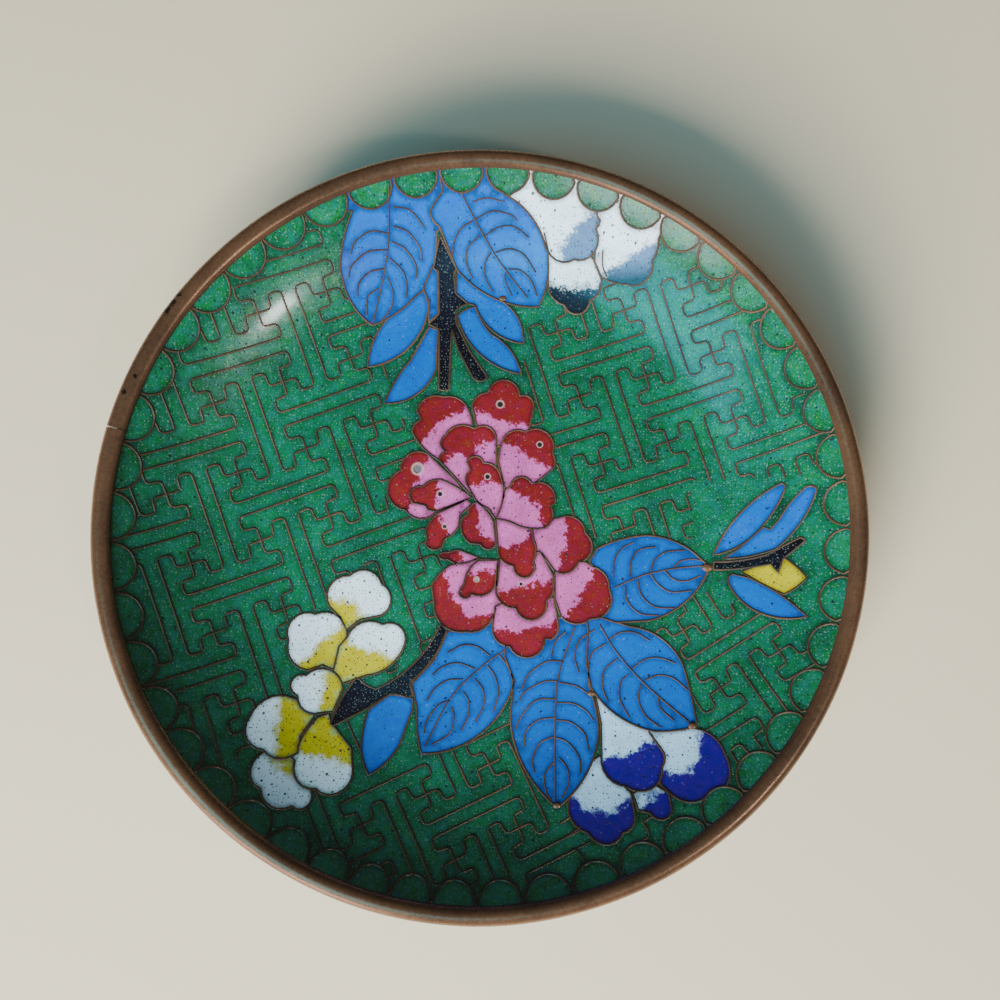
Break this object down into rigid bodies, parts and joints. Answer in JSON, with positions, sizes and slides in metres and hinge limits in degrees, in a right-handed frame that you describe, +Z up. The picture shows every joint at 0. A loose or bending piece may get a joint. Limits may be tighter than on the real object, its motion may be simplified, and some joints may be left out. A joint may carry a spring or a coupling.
{
  "type": "trinket dish",
  "caption": "Small round enamelled copper dish with a shallow well, rolled wire rim, foot ring and an inlaid picture of blossoms and leaves.",
  "frame": {"origin": "middle of the foot ring's underside", "axes": "+Z up out of the well, +Y towards the top of the picture as seen from above"},
  "size_m": [0.1, 0.1, 0.016],
  "materials": {
    "copper": "aged copper, brown patina, worn brighter on the edges",
    "green_enamel": "opaque fired enamel, polished flush, fine pits and pale specks",
    "counter_enamel": "opaque fired enamel, glossy, plain",
    "black_enamel": "opaque black enamel with pale specks",
    "black_white_enamel": "opaque enamel shading from white to blue black",
    "azure_enamel": "opaque azure enamel",
    "red_pink_enamel": "opaque enamel shading from red to pink",
    "white_yellow_enamel": "opaque enamel shading from white to yellow",
    "cobalt_white_enamel": "opaque enamel shading from white to cobalt",
    "yellow_enamel": "opaque yellow enamel"
  },
  "bodies": {
    "root": {"copper_body": "copper", "rim_wire": "copper", "foot_ring": "copper", "counter_enamel_base": "counter_enamel", "counter_enamel_wall": "counter_enamel", "ground_enamel": "green_enamel", "top_stem": "black_enamel", "lower_left_stem": "black_enamel", "right_stem": "black_enamel", "peony_petal_centre_upper": "red_pink_enamel", "peony_petal_centre_lower": "red_pink_enamel", "peony_petal_left_middle": "red_pink_enamel", "peony_petal_left_small": "red_pink_enamel", "peony_petal_bottom_small": "red_pink_enamel", "peony_petal_right_lower": "red_pink_enamel", "peony_petal_upper_front": "red_pink_enamel", "peony_petal_left_front": "red_pink_enamel", "peony_petal_right_middle": "red_pink_enamel", "peony_petal_right_upper": "red_pink_enamel", "peony_petal_top_left": "red_pink_enamel", "peony_petal_top_right": "red_pink_enamel", "peony_petal_left_back": "red_pink_enamel", "peony_petal_right_back": "red_pink_enamel", "peony_petal_bottom_front": "red_pink_enamel", "peony_petal_bottom_left": "red_pink_enamel", "peony_petal_bottom_right": "red_pink_enamel", "peony_petal_bottom_back": "red_pink_enamel", "top_right_big_leaf": "azure_enamel", "top_left_big_leaf": "azure_enamel", "top_leaf_sliver": "azure_enamel", "top_right_leaf_upper": "azure_enamel", "top_right_leaf_lower": "azure_enamel", "top_left_leaf_upper": "azure_enamel", "top_left_leaf_lower": "azure_enamel", "black_petal_left": "black_white_enamel", "black_petal_bottom": "black_white_enamel", "black_petal_right": "black_white_enamel", "right_big_leaf": "azure_enamel", "lower_right_big_leaf": "azure_enamel", "lower_big_leaf": "azure_enamel", "lower_left_big_leaf": "azure_enamel", "lower_left_small_leaf": "azure_enamel", "right_leaf_upper": "azure_enamel", "right_leaf_middle": "azure_enamel", "right_leaf_lower": "azure_enamel", "yellow_bud": "yellow_enamel", "cobalt_petal_upper": "cobalt_white_enamel", "cobalt_petal_right": "cobalt_white_enamel", "cobalt_petal_left": "cobalt_white_enamel", "cobalt_petal_small": "cobalt_white_enamel", "cream_petal_middle": "white_yellow_enamel", "cream_petal_right": "white_yellow_enamel", "cream_petal_top": "white_yellow_enamel", "cream_petal_left_upper": "white_yellow_enamel", "cream_petal_bottom": "white_yellow_enamel", "cream_petal_left_lower": "white_yellow_enamel", "cream_petal_left_bottom": "white_yellow_enamel"}
  },
  "joints": []
}
